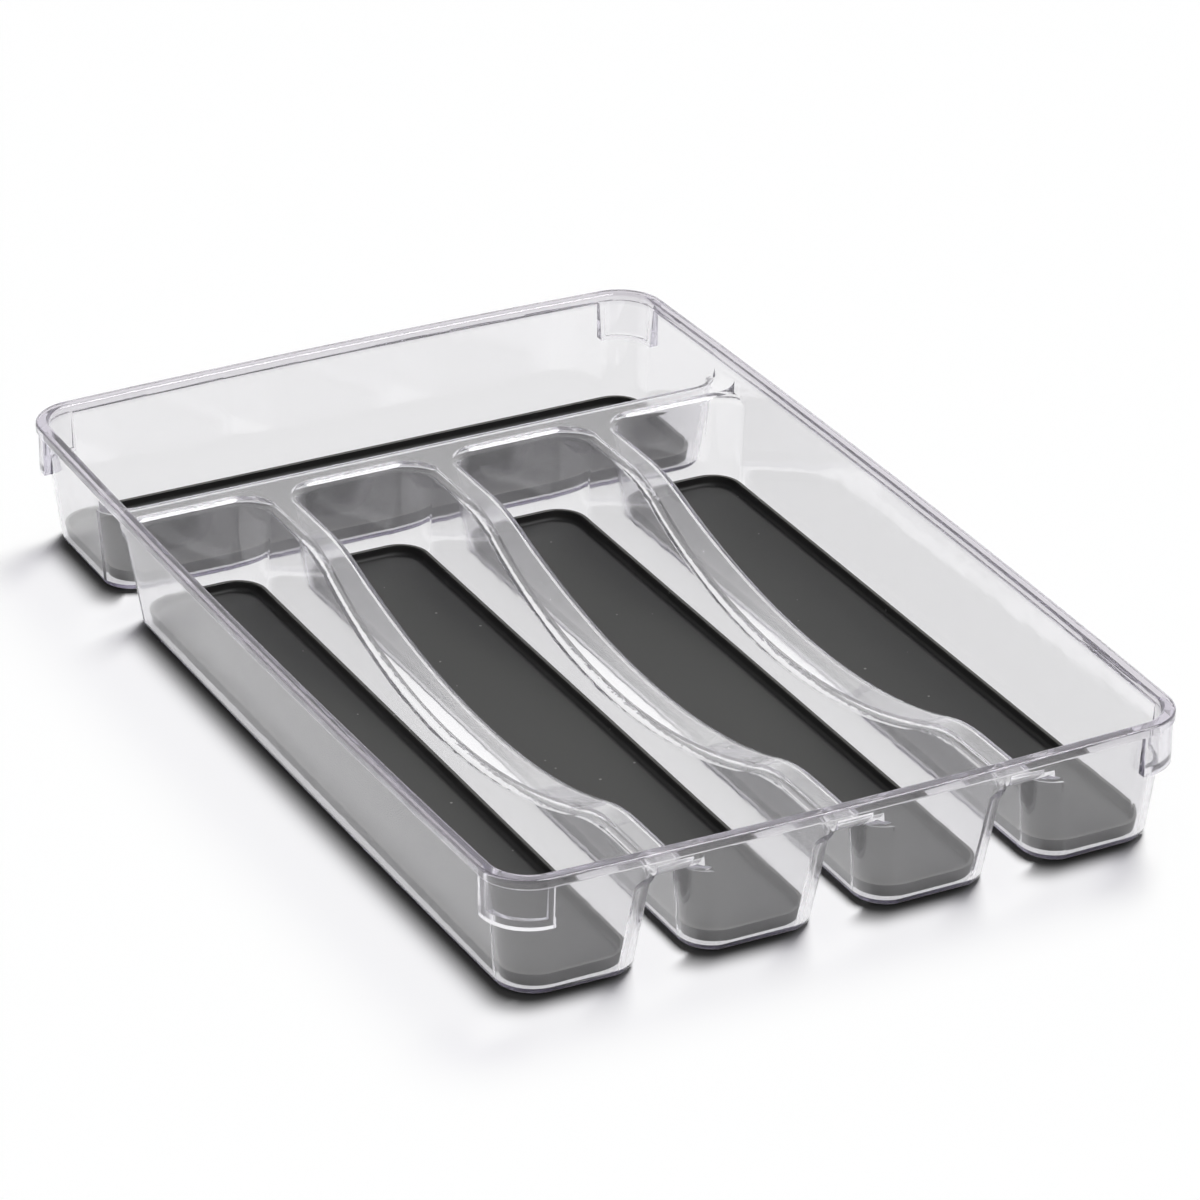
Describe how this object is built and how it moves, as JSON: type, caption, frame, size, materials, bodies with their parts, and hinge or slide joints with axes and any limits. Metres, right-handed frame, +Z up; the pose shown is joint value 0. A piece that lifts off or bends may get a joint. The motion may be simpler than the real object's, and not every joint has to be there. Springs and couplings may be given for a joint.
{
  "type": "cutlery tray",
  "caption": "Clear moulded drawer tray with long cutlery pockets side by side, a cross pocket behind them, dipped hollow ridges between and lift-out dark non-slip liners.",
  "frame": {"origin": "centre of the footprint, on the plane that the feet stand on", "axes": "+X across the width to the right, +Y along the length to the cross pocket at the back, +Z up"},
  "size_m": [0.255, 0.396, 0.046],
  "materials": {
    "clear_plastic": "clear, polished as moulded",
    "liner": "fine matt, soft"
  },
  "bodies": {
    "tray": {"tray_shell": "clear_plastic"},
    "liner_left": {"liner_left": "liner"},
    "liner_mid_left": {"liner_mid_left": "liner"},
    "liner_mid_right": {"liner_mid_right": "liner"},
    "liner_right": {"liner_right": "liner"},
    "liner_back": {"liner_back": "liner"}
  },
  "joints": [
    {"name": "lift_liner_left", "type": "slide", "parent": "tray", "child": "liner_left", "axis": [0, 0, 1], "range_m": [0, 0.06]},
    {"name": "lift_liner_mid_left", "type": "slide", "parent": "tray", "child": "liner_mid_left", "axis": [0, 0, 1], "range_m": [0, 0.06]},
    {"name": "lift_liner_mid_right", "type": "slide", "parent": "tray", "child": "liner_mid_right", "axis": [0, 0, 1], "range_m": [0, 0.06]},
    {"name": "lift_liner_right", "type": "slide", "parent": "tray", "child": "liner_right", "axis": [0, 0, 1], "range_m": [0, 0.06]},
    {"name": "lift_liner_back", "type": "slide", "parent": "tray", "child": "liner_back", "axis": [0, 0, 1], "range_m": [0, 0.06]}
  ]
}
